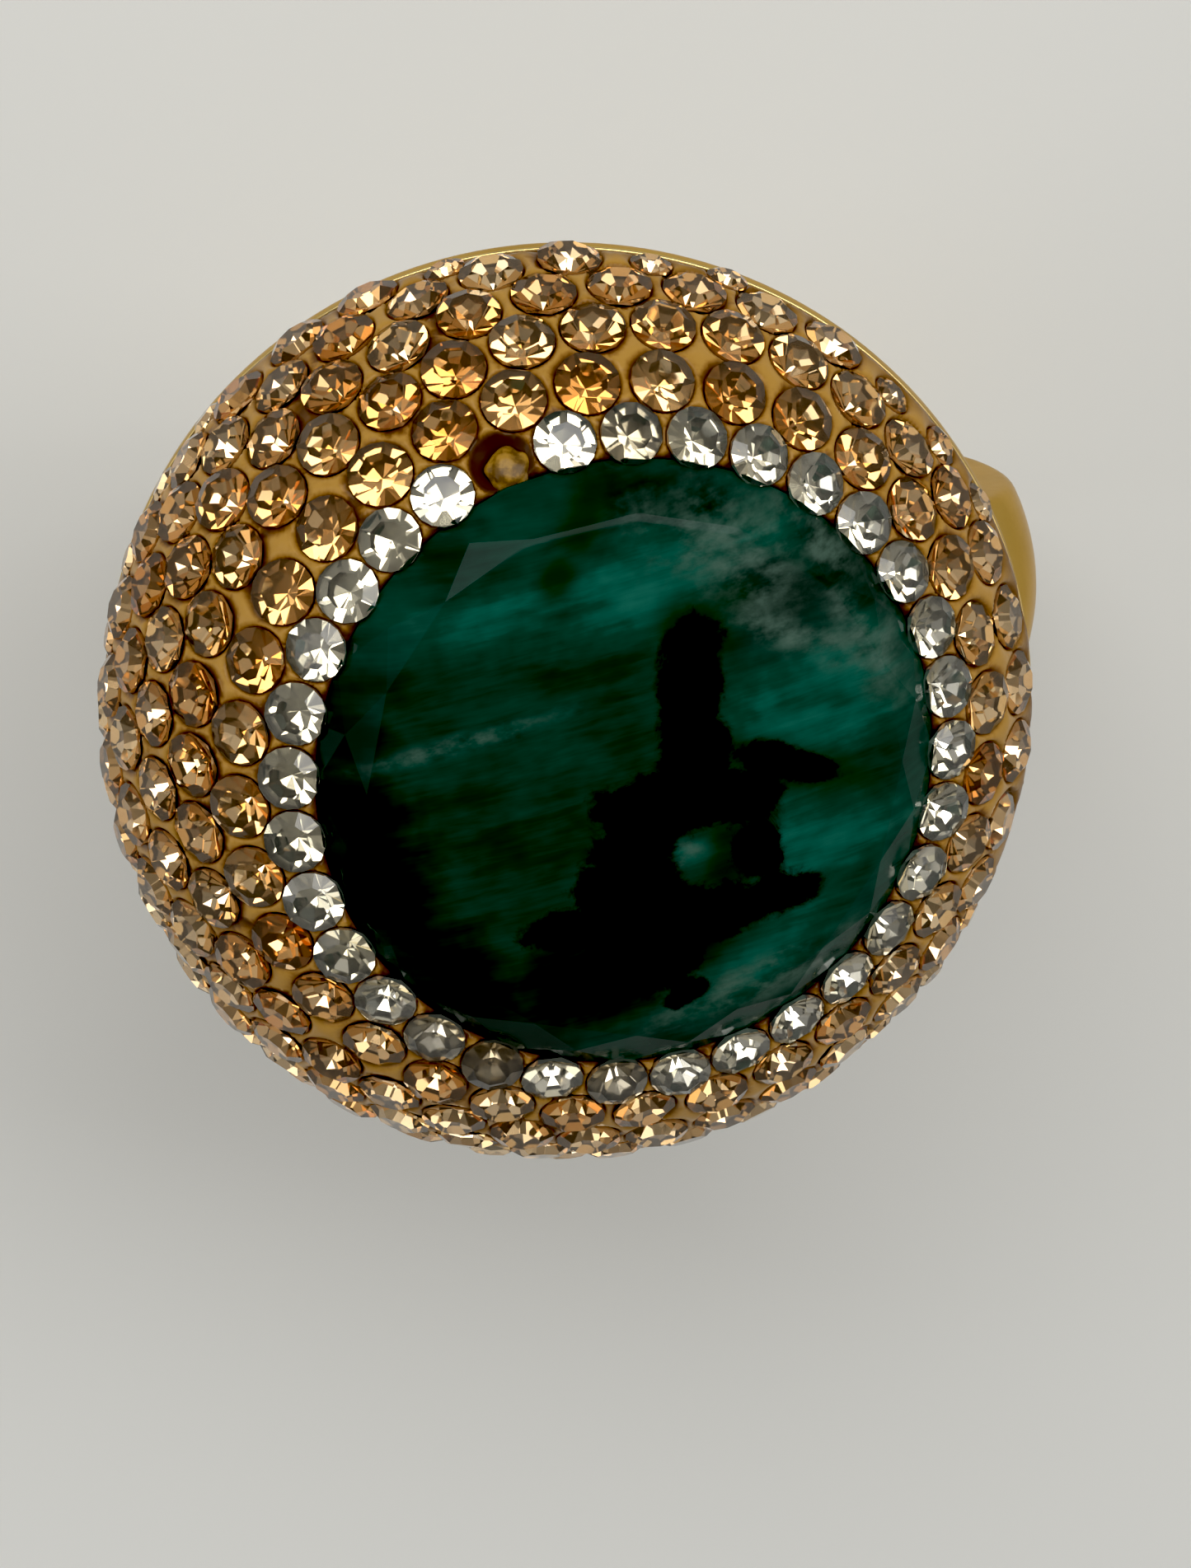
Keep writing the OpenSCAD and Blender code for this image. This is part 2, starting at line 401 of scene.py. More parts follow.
def crystal_glass(name, pale, deep, tarnish, shine):
    """The cut front of a crystal. Its colour changes a little from crystal to crystal."""
    s = Shader(name, Transmission_Weight=1.0, IOR=1.56, Roughness=0.015, Specular_Tint=shine)
    tone, _ = s.stored("tone")
    dull, _ = s.stored("dull")
    colour = s.mix(tone, pale, deep)
    s.use("Base Color", s.mix(dull, colour, tarnish))
    return s.material


def crystal_foil(name, pale, deep, tarnish, edge, rough, mirror):
    """The foil on a crystal. mirror is how far it reflects rather than scatters."""
    s = Shader(name, Metallic=mirror, Specular_Tint=edge)
    tone, _ = s.stored("tone")
    dull, _ = s.stored("dull")
    wear = s.noise(s.place(), 1.2, 1.0, 0.5)
    colour = s.mix(s.math("MULTIPLY_ADD", wear, 0.5, s.math("SUBTRACT", tone, 0.25)), pale, deep)
    s.use("Base Color", s.mix(dull, colour, tarnish))
    s.use("Roughness", s.math("MULTIPLY_ADD", dull, 0.1, rough))
    return s.material


# Marks in the stone and, last, patches of painted reflection, all in its own plane: (x, y, half length,
# half width, turn in degrees)
BLACK_MARKS = (
    (1.10, 2.00, 1.55, 0.72, 92),
    (1.20, 3.20, 0.70, 0.60, 20),
    (1.20, 0.60, 1.05, 0.80, 80),
    (0.95, -0.40, 1.95, 0.72, 2),
    (2.45, -0.45, 0.85, 0.62, -14),
    (-0.15, -1.50, 1.20, 0.90, 66),
    (-0.35, -2.75, 1.25, 1.25, 10),
    (-1.70, -3.40, 0.95, 0.50, 10),
    (1.30, -3.25, 1.80, 0.72, 6),
    (3.20, -2.85, 1.10, 0.52, 6),
    (2.75, -1.75, 0.60, 0.80, 0),
    (0.60, -4.20, 1.00, 0.80, 60),
    (1.10, -5.20, 0.50, 0.36, 30),
    (3.35, 0.30, 1.30, 0.40, -17),
)
OLIVE_MARKS = (
    (3.50, 0.20, 1.70, 0.60, -17),
    (1.20, 3.70, 0.90, 0.70, 10),
    (2.15, -1.70, 0.75, 0.80, 20),
    (-1.90, 4.80, 0.50, 0.36, 60),
    (-1.25, 6.15, 0.70, 0.42, 70),
    (2.00, 4.20, 0.60, 0.35, 20),
)
SHADE_MARKS = (
    (-6.30, -1.30, 4.20, 1.20, 108),
    (-4.00, -5.20, 2.50, 1.10, -40),
    (-0.60, -4.60, 2.60, 1.00, 14),
    (3.40, 4.30, 1.30, 0.70, -20),
    (0.60, 6.50, 1.40, 0.40, -8),
    (4.90, 4.60, 1.20, 0.50, -45),
)
BRIGHT_MARKS = (
    (4.10, 1.60, 2.20, 1.20, 14),
    (0.20, 4.70, 2.80, 0.90, 14),
    (4.60, -1.60, 1.60, 0.90, 14),
    (2.60, -4.40, 2.20, 0.60, 22),
    (-2.90, 4.00, 1.80, 0.60, 14),
    (1.35, -1.70, 0.45, 0.34, 10),
)
# Painted reflection: pale patches laid where the polished dome mirrors its bright surroundings.
REFLECTION_MARKS = (
    (2.10, 5.30, 1.90, 1.00, -22),
    (5.40, 2.90, 1.50, 0.60, -58),
    (3.90, 3.10, 1.60, 0.40, -20),
    (2.80, -5.10, 2.20, 0.50, 22),
    (-4.20, 1.15, 2.10, 0.20, 16),
    (4.30, 5.20, 1.20, 0.40, -42),
    (1.05, -1.70, 0.35, 0.30, 0),
)


# How softly marks that touch run together, and the turn of the stone's grain in degrees
MARK_JOIN = 0.35
GRAIN_TURN = 13


def marks_at(s, plane, marks, edge, wobble):
    """How far a point lies inside the nearest mark: 1 inside, 0 outside."""
    nearest = None
    for x, y, length, width, turn in marks:
        offset = s.vector("SUBTRACT", plane, (x, y, 0.0))
        turned = s.node("ShaderNodeVectorRotate", rotation_type="Z_AXIS", Vector=offset)
        turned.inputs["Angle"].default_value = -math.radians(turn)
        sized = s.vector("MULTIPLY", turned.outputs[0], (1 / length, 1 / width, 0.0))
        away = s.vector("LENGTH", sized)
        nearest = away if nearest is None else s.math("SMOOTH_MIN", nearest, away, MARK_JOIN)
    ragged = s.math("ADD", nearest, wobble)
    return s.math("SUBTRACT", 1.0, s.between(ragged, 1.0 - edge, 1.0 + edge))


def stone_polish():
    """Polished green stone: teal streaks, black and olive marks, and a painted reflection as a pale film
    near the edge.
    """
    s = Shader("stone_polish", Roughness=0.14, Specular_IOR_Level=0.08, IOR=1.5)
    _, plane = s.stored("stone_plane")
    turned = s.node("ShaderNodeVectorRotate", rotation_type="Z_AXIS", Vector=plane)
    turned.inputs["Angle"].default_value = -math.radians(GRAIN_TURN)
    along = turned.outputs[0]
    streaks = s.noise(s.vector("MULTIPLY", along, (0.28, 1.9, 1.0)), 1.0, 5.0, 0.62, 0.25)
    threads = s.noise(s.vector("MULTIPLY", along, (0.45, 5.5, 1.0)), 1.0, 3.0, 0.6, 0.2)
    cloud = s.noise(plane, 0.42, 3.0, 0.6)
    ragged = s.math("MULTIPLY_ADD", s.noise(plane, 1.5, 5.0, 0.68, 0.4), 1.5, -0.75)
    soft = s.math("MULTIPLY_ADD", s.noise(plane, 0.9, 3.0, 0.6), 1.4, -0.7)

    depth = s.math("MULTIPLY_ADD", cloud, 0.55, s.math("MULTIPLY", streaks, 0.52))
    depth = s.math("MULTIPLY_ADD", threads, 0.16, depth)
    bright = marks_at(s, plane, BRIGHT_MARKS, 0.8, soft)
    shade = marks_at(s, plane, SHADE_MARKS, 0.7, soft)
    depth = s.math("MULTIPLY_ADD", bright, 0.27, depth)
    depth = s.math("MULTIPLY_ADD", shade, -0.30, depth)
    green = s.ramp(
        s.between(depth, 0.26, 1.14),
        (0.0, (0.002, 0.012, 0.006, 1)),
        (0.25, (0.003, 0.025, 0.015, 1)),
        (0.6, (0.007, 0.053, 0.034, 1)),
        (1.0, (0.022, 0.132, 0.096, 1)),
    )
    olive = marks_at(s, plane, OLIVE_MARKS, 0.6, soft)
    green = s.mix(s.math("MULTIPLY", olive, 0.75), green, (0.004, 0.017, 0.004, 1))
    # Painted reflection: the stone's colour is lifted towards a pale grey-green in wisps inside these
    # patches.
    painted_reflection = marks_at(s, plane, REFLECTION_MARKS, 0.75, soft)
    wisps = s.between(s.noise(s.vector("MULTIPLY", along, (0.8, 1.3, 1.0)), 1.1, 4.0, 0.65), 0.36, 0.72)
    green = s.mix(s.math("MULTIPLY", s.math("MULTIPLY", painted_reflection, wisps), 0.9), green, (0.076, 0.130, 0.100, 1))
    black = marks_at(s, plane, BLACK_MARKS, 0.24, ragged)
    s.use("Base Color", s.mix(black, green, (0.0006, 0.0009, 0.0006, 1)))
    return s.material


# ---------------------------------------------------------------- crystals

FOLD = 8
TABLE_SHARE = 0.60


def cut_crystal(cut, turn):
    """Points and faces of a pointed-back crystal, and which are foiled: its back and girdle."""
    step = math.pi / FOLD
    table_x = TABLE_SHARE * cut.radius * math.cos(step)
    corner_x = cut.radius * math.cos(step)
    crown_slope = (cut.top - cut.rim) / (cut.radius - table_x)
    crown_corner = cut.top - (corner_x - table_x) * crown_slope
    back_corner = -cut.depth * (1 - corner_x / cut.radius)
    points = np.vstack([
        [[0, 0, -cut.depth]],
        ring(cut.radius, 0, FOLD, turn),
        ring(cut.radius, back_corner, FOLD, turn + step),
        ring(cut.radius, cut.rim, FOLD, turn),
        ring(cut.radius, crown_corner, FOLD, turn + step),
        ring(TABLE_SHARE * cut.radius, cut.top, FOLD, turn + step),
    ])
    low, low_corner, high, high_corner, table = (1 + k * FOLD for k in range(5))
    foiled = []
    clear_cut = [tuple(table + k for k in range(FOLD))]
    for k in range(FOLD):
        before = (k - 1) % FOLD
        after = (k + 1) % FOLD
        foiled.append((0, low_corner + k, low + k, low_corner + before))
        clear_cut.append((table + before, high_corner + before, high + k, high_corner + k, table + k))
        foiled.append((low + k, low_corner + k, high_corner + k, high + k))
        foiled.append((low_corner + k, low + after, high + after, high_corner + k))
    faces = []
    for face in clear_cut + foiled:
        a, b, c = (points[i] for i in face[:3])
        outward = np.dot(np.cross(b - a, c - a), points[list(face)].mean(axis=0)) > 0
        faces.append(face if outward else face[::-1])
    return points, faces, [0] * len(clear_cut) + [1] * len(foiled)


def crystal_piece(name, node, cuts, seed, dulled, tones, slot, glass, foil):
    """One row of crystals, each turned at random about its own axis. tones is (mean, spread)."""
    chance = random.Random(seed)
    points, faces, foiled, tone, dull = [], [], [], [], []
    count = 0
    for index, cut in enumerate(cuts):
        local, cut_faces, cut_foiled = cut_crystal(cut, chance.uniform(0, 2 * math.pi))
        points.append(cut.world(local))
        faces += [tuple(i + count for i in face) for face in cut_faces]
        foiled += cut_foiled
        shade = min(1.0, max(0.0, chance.gauss(*tones)))
        tone += [shade] * len(cut_faces)
        dull += [dulled.get(index, 0.0)] * len(cut_faces)
        count += len(local)
    piece = new_mesh(name, np.vstack(points), faces, False)
    finish_piece(piece, [node], slot, glass, foil)
    piece.data.polygons.foreach_set("material_index", foiled)
    attribute(piece.data, "tone", "FACE", "FLOAT", tone)
    attribute(piece.data, "dull", "FACE", "FLOAT", dull)


# ---------------------------------------------------------------- clay

def fit_circle(x, y):
    """Middle and radius of the circle nearest to these points."""
    table = np.column_stack([x, y, np.ones_like(x)])
    a, b, c = np.linalg.lstsq(table, x * x + y * y, rcond=None)[0]
    return a / 2, b / 2, math.sqrt(c + (a * a + b * b) / 4)


def fit_flank():
    """The arc of the clay's flank beside the stone: (radius from the stone's axis, height), radius."""
    points = cad_points("clay_dome")
    points = points[points[:, 2] > rim_z + SLACK]
    local = stone.local(points)
    out = np.linalg.norm(local[:, :2], axis=1)
    keep = out > stone.radius + SLACK
    out, height = out[keep], local[keep, 2]
    x, y, radius = fit_circle(out, height)
    near = abs(np.hypot(out - x, height - y) - radius) < 0.03
    return fit_circle(out[near], height[near])


flank_x, flank_y, flank_r = fit_flank()
flank_top = math.acos((stone.radius - flank_x) / flank_r)
seat_edge = stone.local(cad_points("clay_dome"))[:, 2].max()


def on_flank(plan):
    """Points on the flank and their outward directions. plan unrolls the flank round the stone."""
    out = np.linalg.norm(plan, axis=1)
    angle = flank_top - (out - stone.radius) / flank_r
    round_it = plan / out[:, None]
    reach = flank_x + flank_r * np.cos(angle)
    height = np.minimum(flank_y + flank_r * np.sin(angle), seat_edge)
    local = np.column_stack([round_it * reach[:, None], height])
    normal = np.column_stack([round_it * np.cos(angle)[:, None], np.sin(angle)])
    return stone.world(local), stone.world(normal) - stone.base


def plan_of(points):
    """The reverse of on_flank."""
    local = stone.local(points)
    reach = np.linalg.norm(local[:, :2], axis=1)
    angle = np.arctan2(local[:, 2] - flank_y, reach - flank_x)
    out = stone.radius + (flank_top - angle) * flank_r
    return local[:, :2] / reach[:, None] * out[:, None]


class Socket:
    """The open socket of the missing crystal, found from the resin left in its tip."""

    def __init__(self, resin, like):
        self.axis = resin.axis
        self.base = resin.base - resin.axis * (resin.depth - like.depth)
        self.radius = like.radius
        self.depth = like.depth


socket = Socket(resin, clear[0])
holes = crystals + [socket]

# Clay height over the flank, by distance from the nearest crystal's edge. Inside it is the pit.
GAPS = (-1.0, 0.0, 0.035, 0.08, 0.16, 0.34)
HEIGHTS = (-1.0, -0.03, 0.035, 0.065, 0.09, 0.13)
LUMP_HEIGHT = 0.025
# The height that the clay's hidden faces are coloured for
HIDDEN_LEVEL = -0.2
# A pit is a little steeper than the crystal's back, and this far from it.
PIT_STEEPNESS = 1.06
PIT_CLEARANCE = 0.075
PIT_BLEND = 0.04
# Where the clay's points lie: rings round each crystal and along the tray, and a fill between.
RING_GAPS = (-0.12, 0.0, 0.035, 0.08, 0.16)
RING_POINTS = 44
FILL_STEP = 0.13
EDGE_POINTS = 640
EDGE_RINGS = (0.10, 0.20, 0.31, 0.43)
EDGE_MARGIN = 0.03
# A gap wider than any between crystals
FAR = 9.0
# Near the tray the clay is drawn in, so that the tray's edge stays bare.
RIM_GAP = 0.02
RIM_SLOPE = 0.35
# The search for the tray's rim goes this far under the flank's widest place, in radians.
OVERHANG = 0.8
HALVINGS = 40


def gap_to_crystals(points, owners=False):
    """Distance from each point to the nearest crystal's edge, across that crystal's axis."""
    nearest = np.full(len(points), FAR)
    owner = np.zeros(len(points), dtype=int)
    for index, hole in enumerate(holes):
        offset = points - hole.base
        along = offset @ hole.axis
        out = np.sqrt(np.maximum((offset * offset).sum(axis=1) - along * along, 0.0))
        gap = np.where(abs(along) > 2 * hole.radius, FAR, out - hole.radius)
        owner[gap < nearest] = index
        nearest = np.minimum(nearest, gap)
    return (nearest, owner) if owners else nearest


def pits(points, gap, owner):
    """Points moved into the pit under their own crystal, just clear of its pointed back."""
    axis = np.array([hole.axis for hole in holes])[owner]
    base = np.array([hole.base for hole in holes])[owner]
    radius = np.array([hole.radius for hole in holes])[owner]
    depth = np.array([hole.depth for hole in holes])[owner]
    offset = points - base
    along = (offset * axis).sum(axis=1)
    level = -PIT_CLEARANCE + depth * gap / radius * PIT_STEEPNESS
    return points + axis * (level - along)[:, None]


def rim_plan(count):
    """Where the flank meets the tray's rim, as plan radii at even turns."""
    turns = 2 * math.pi * np.arange(count) / count
    round_it = np.column_stack([np.cos(turns), np.sin(turns)])
    near = np.full(count, stone.radius)
    far = np.full(count, stone.radius + flank_r * (flank_top + OVERHANG))
    for _ in range(HALVINGS):
        middle = (near + far) / 2
        above = on_flank(round_it * middle[:, None])[0][:, 2] > rim_z + THIN
        near = np.where(above, middle, near)
        far = np.where(above, far, middle)
    return turns, near


def rim_curve():
    """The same as rim_plan, closed, for interpolation by turn."""
    turns, rim = rim_plan(EDGE_POINTS)
    return np.append(turns, 2 * math.pi), np.append(rim, rim[0])


def clay_plan():
    """Plan points for the clay: its two edges, rings round the crystals, and a fill between."""
    turns, rim = rim_plan(EDGE_POINTS)
    round_it = np.column_stack([np.cos(turns), np.sin(turns)])
    outer = round_it * rim[:, None]
    inner = round_it * stone.radius
    closed_rim = rim_curve()

    def inside(plan, margin):
        out = np.linalg.norm(plan, axis=1)
        turn = np.arctan2(plan[:, 1], plan[:, 0]) % (2 * math.pi)
        edge = np.interp(turn, *closed_rim)
        return (out > stone.radius + margin) & (out < edge - margin)

    parts = [outer, inner]
    for hole in holes:
        side = np.cross(hole.axis, (0.0, 1.0, 0.0))
        side /= np.linalg.norm(side)
        other = np.cross(hole.axis, side)
        centre = plan_of(hole.base[None, :])
        parts.append(centre)
        for level, gap in enumerate(RING_GAPS):
            circle = ring(hole.radius + gap, 0, RING_POINTS, level * math.pi / RING_POINTS)
            points = hole.base + circle[:, :1] * side + circle[:, 1:2] * other
            plan = plan_of(points)
            slack = 0.03 if gap <= 0 else 0.012
            own = gap_to_crystals(on_flank(plan)[0]) > gap - slack
            parts.append(plan[own & inside(plan, EDGE_MARGIN)])
    for offset in EDGE_RINGS:
        circle = round_it * (rim - offset)[:, None]
        parts.append(circle[gap_to_crystals(on_flank(circle)[0]) > RING_GAPS[-1] / 2])
    reach = rim.max()
    steps = np.arange(-reach, reach, FILL_STEP)
    grid = np.stack(np.meshgrid(steps, steps), axis=-1)
    grid[1::2, :, 0] += FILL_STEP / 2
    grid = grid.reshape(-1, 2)
    grid = grid[inside(grid, EDGE_RINGS[-1] + FILL_STEP / 2)]
    grid = grid[gap_to_crystals(on_flank(grid)[0]) > RING_GAPS[-1] + 0.05]
    parts.append(grid)
    return np.vstack(parts), inside


def drawn_in(points):
    """Points moved towards the tray's axis where they would hang over its edge."""
    out = np.hypot(points[:, 0] - tray_x, points[:, 1])
    above = np.maximum(points[:, 2] - rim_z, 0.0)
    share = np.minimum(1.0, (tray_wall_in + RIM_GAP + RIM_SLOPE * above) / out)
    return np.column_stack([tray_x + (points[:, 0] - tray_x) * share, points[:, 1] * share, points[:, 2]])


def add_skirt(points, edges, levels, middle):
    """Rows of new points hung from an open edge, then closed on a middle point."""
    names = sorted({i for edge in edges for i in edge})
    here = {i: i for i in names}
    faces = []
    for level in levels:
        below = {}
        for i in names:
            below[i] = len(points)
            points.append(level(np.asarray(points[i])))
        faces += [(here[b], here[a], below[a], below[b]) for a, b in edges]
        here = below
    points.append(middle)
    faces += [(here[b], here[a], len(points) - 1) for a, b in edges]
    return faces


def in_tray(radius_cap, height):
    """Moves a point inside the tray's wall, to a height."""
    def move(point):
        x, y = point[0] - tray_x, point[1]
        out = math.hypot(x, y)
        share = (min(out, radius_cap) - THIN) / out
        return np.array([tray_x + x * share, y * share, height])
    return move


def in_seat(radius, height):
    """Moves a point to a radius and height about the stone's axis."""
    def move(point):
        x, y, _ = stone.local(point[None, :])[0]
        share = radius / math.hypot(x, y)
        return stone.world([x * share, y * share, height])
    return move


def on_rim(plan, inside):
    """Which plan points lie on the clay's outer edge."""
    return ~inside(plan, THIN) & (np.linalg.norm(plan, axis=1) > stone.radius + 1)


def triangulated(plan, inside):
    """Plan points with triangles between them that face out, none past the clay's edges."""
    flat = [Vector(p) for p in plan]
    plan, _, faces, _, _, _ = geometry.delaunay_2d_cdt(flat, [], [], 0, 1e-4)
    plan = np.array([tuple(p) for p in plan])
    faces = np.array([tuple(face) for face in faces])
    on_seat = (np.linalg.norm(plan, axis=1) < stone.radius + 0.001)[faces].all(axis=1)
    on_outer = on_rim(plan, inside)[faces].all(axis=1)
    faces = faces[inside(plan[faces].mean(axis=1), 0.0) & ~on_seat & ~on_outer]
    a, b, c = plan[faces[:, 0]], plan[faces[:, 1]], plan[faces[:, 2]]
    area = (b - a)[:, 0] * (c - a)[:, 1] - (b - a)[:, 1] * (c - a)[:, 0]
    faces[area < 0] = faces[area < 0][:, ::-1]
    return plan, [tuple(int(i) for i in face) for face in faces]


def clay_surface(plan, inside):
    """The clay's points with their ridges, lumps and pits, and their heights over the flank."""
    base, normal = on_flank(plan)
    out = np.linalg.norm(plan, axis=1)
    at_rim = on_rim(plan, inside)
    crystal_gap, owner = gap_to_crystals(base, owners=True)
    height = np.interp(np.minimum(crystal_gap, out - stone.radius), GAPS, HEIGHTS)
    lumps = np.array([noise.noise(Vector(p * 0.9)) for p in base])
    height = np.where(at_rim, np.minimum(height, 0.0), height + LUMP_HEIGHT * lumps)
    normal = np.where(at_rim[:, None], 0.0, normal)
    points = drawn_in(base + normal * height[:, None])
    pit_share = np.clip(1 - crystal_gap / PIT_BLEND, 0.0, 1.0) * (out > stone.radius + 0.001)
    pit_share = np.where(at_rim, 0.0, pit_share)[:, None]
    return points * (1 - pit_share) + pits(points, crystal_gap, owner) * pit_share, height


def clay_piece():
    """The clay: its flank with pits and ridges, closed through the tray and the stone's seat."""
    plan, inside = clay_plan()
    plan, faces = triangulated(plan, inside)
    surface, height = clay_surface(plan, inside)
    points = list(surface)
    out = np.linalg.norm(plan, axis=1)
    turn = np.arctan2(plan[:, 1], plan[:, 0]) % (2 * math.pi)
    to_rim = np.interp(turn, *rim_curve()) - out

    borders = {(f[k], f[(k + 1) % 3]) for f in faces for k in range(3)}
    borders = [edge for edge in borders if edge[::-1] not in borders]
    rim_edges = [edge for edge in borders if out[edge[0]] > stone.radius + 1]
    seat_edges = [edge for edge in borders if out[edge[0]] <= stone.radius + 1]
    faces += add_skirt(
        points, rim_edges,
        [in_tray(tray_wall_in - SLACK, rim_z + THIN), in_tray(tray_wall_in - SLACK, floor_z)],
        np.array([tray_x, 0.0, floor_z]),
    )
    foot = -stone.depth
    cement_low = stone.local(cad_points("stone_cement"))[:, 2].min()
    faces += add_skirt(
        points, seat_edges,
        [
            in_seat(stone.radius, 0.0),
            in_seat(stone.foot_radius, foot),
            in_seat(stone.foot_radius, cement_low),
        ],
        stone.world([0.0, 0.0, cement_low]),
    )
    used = sorted({i for face in faces for i in face})
    rename = {old: new for new, old in enumerate(used)}
    faces = [tuple(rename[i] for i in face) for face in faces]
    level = np.full(len(points), HIDDEN_LEVEL)
    level[:len(height)] = height
    piece = new_mesh("clay", [points[i] for i in used], faces, True)
    finish_piece(piece, ["clay_dome"], "clay", clay_gloss())
    attribute(piece.data, "clay_height", "POINT", "FLOAT", level[used])
    edge = np.zeros(len(points))
    edge[:len(height)] = to_rim
    attribute(piece.data, "clay_edge", "POINT", "FLOAT", edge[used])


# ---------------------------------------------------------------- band and tray

def soften(piece):
    """Keeps flat faces flat and rounded edges round."""
    modifier = piece.modifiers.new("weighted", "WEIGHTED_NORMAL")
    modifier.keep_sharp = True


TRAY_ROUND = 0.07
TRAY_STEPS = 192


def tray_piece(gold):
    """The round tray, with rounded edges."""
    low = tray_low[2]
    corners = [
        (0.0, low), (tray_r, low), (tray_r, rim_z),
        (tray_wall_in, rim_z), (tray_wall_in, floor_z), (0.0, floor_z),
    ]
    points, faces = revolve(rounded(corners, TRAY_ROUND), TRAY_STEPS)
    piece = new_mesh("tray", points + np.array([tray_x, 0.0, 0.0]), faces, True)
    finish_piece(piece, ["head_tray"], "gold_metal", gold)
    soften(piece)


BAND_STEPS = 240
DOME_STEPS = 20
EDGE_ROUND = 0.28
MERGE_BELOW = 0.0001 * MM


def band_piece(gold):
    """The domed band, filed flat at the top, as one section swept round the bore."""
    points = cad_points("shank")
    band_r = points[:, 0].max()
    bore_r = frame["record"]["mounts"][0]["dims"]["r_mm"]
    flat_z = points[:, 2].max()
    top_half = points[:, 1].max()
    back_half = points[points[:, 2] < 0.2 - band_r][:, 1].max()
    edge_r = np.hypot(points[:, 0], points[:, 2])[abs(points[:, 1]) > top_half - 0.01].max()
    rise = band_r - edge_r

    def section(height):
        half = back_half + (top_half - back_half) * (height + band_r) / (flat_z + band_r)
        half = min(half, top_half)
        dome = []
        for step in range(DOME_STEPS + 1):
            across = 2 * step / DOME_STEPS - 1
            y = across * half
            dome.append((band_r - rise * (y / top_half) ** 2, y))
        edge = rounded([(bore_r, 0.0), (bore_r, -half), dome[0], dome[2]], EDGE_ROUND, 5)
        return edge + dome[3:-3] + [(r, -y) for r, y in reversed(edge[1:])]

    rows = []
    for step in range(BAND_STEPS):
        turn = 2 * math.pi * step / BAND_STEPS
        loop = section(bore_r * math.sin(turn))
        rows.append([(r * math.cos(turn), y, min(r * math.sin(turn), flat_z)) for r, y in loop])
    count = len(rows[0])
    faces = []
    for step in range(BAND_STEPS):
        after = (step + 1) % BAND_STEPS
        for k in range(count):
            k2 = (k + 1) % count
            faces.append((step * count + k, step * count + k2, after * count + k2, after * count + k))
    piece = new_mesh("band", np.vstack(rows), faces, True)
    bm = bmesh.new()
    bm.from_mesh(piece.data)
    # Where two rounded corners meet, or the flat cuts a side wall, points fall together.
    bmesh.ops.remove_doubles(bm, verts=bm.verts, dist=MERGE_BELOW)
    bmesh.ops.dissolve_degenerate(bm, dist=MERGE_BELOW, edges=bm.edges)
    bmesh.ops.recalc_face_normals(bm, faces=bm.faces)
    bm.to_mesh(piece.data)
    bm.free()
    soften(piece)
    finish_piece(piece, ["shank"], "gold_metal", gold)


# ---------------------------------------------------------------- glue in the empty socket

# Half sizes of the lump and where it sits, as shares of the socket's radius
GLUE_SIZE = (0.70, 0.66, 0.26)
GLUE_OFFSET = (0.20, -0.10, -0.34)


def resin_piece():
    """A lump of glue that has stayed on one side of the socket."""
    bm = bmesh.new()
    bmesh.ops.create_icosphere(bm, subdivisions=4, radius=1.0)
    for vert in bm.verts:
        lump = 1 + 0.3 * noise.noise(vert.co * 1.4 + Vector((3.0, 1.0, 7.0)))
        vert.co = vert.co * lump
    points = np.array([tuple(v.co) for v in bm.verts])
    faces = [tuple(v.index for v in f.verts) for f in bm.faces]
    bm.free()
    size = socket.radius * np.array(GLUE_SIZE)
    offset = np.array(GLUE_OFFSET) * socket.radius
    local = points * size + offset
    side = np.cross((0.0, 1.0, 0.0), socket.axis)
    side /= np.linalg.norm(side)
    other = np.cross(socket.axis, side)
    world = socket.base + local @ np.array([side, other, socket.axis])
    piece = new_mesh("socket_glue", world, faces, True)
    finish_piece(piece, ["socket_resin"], "resin", resin_gloss())


# ---------------------------------------------------------------- centre stone

SIDES = 16
EDGE_SPLIT = 6
DOME_RINGS = 26
# The facets' upper and middle corners, as shares of the stone's radius, and how high they reach
TABLE_REACH = 0.86
MID_REACH = 0.935
TABLE_RISE = 0.6


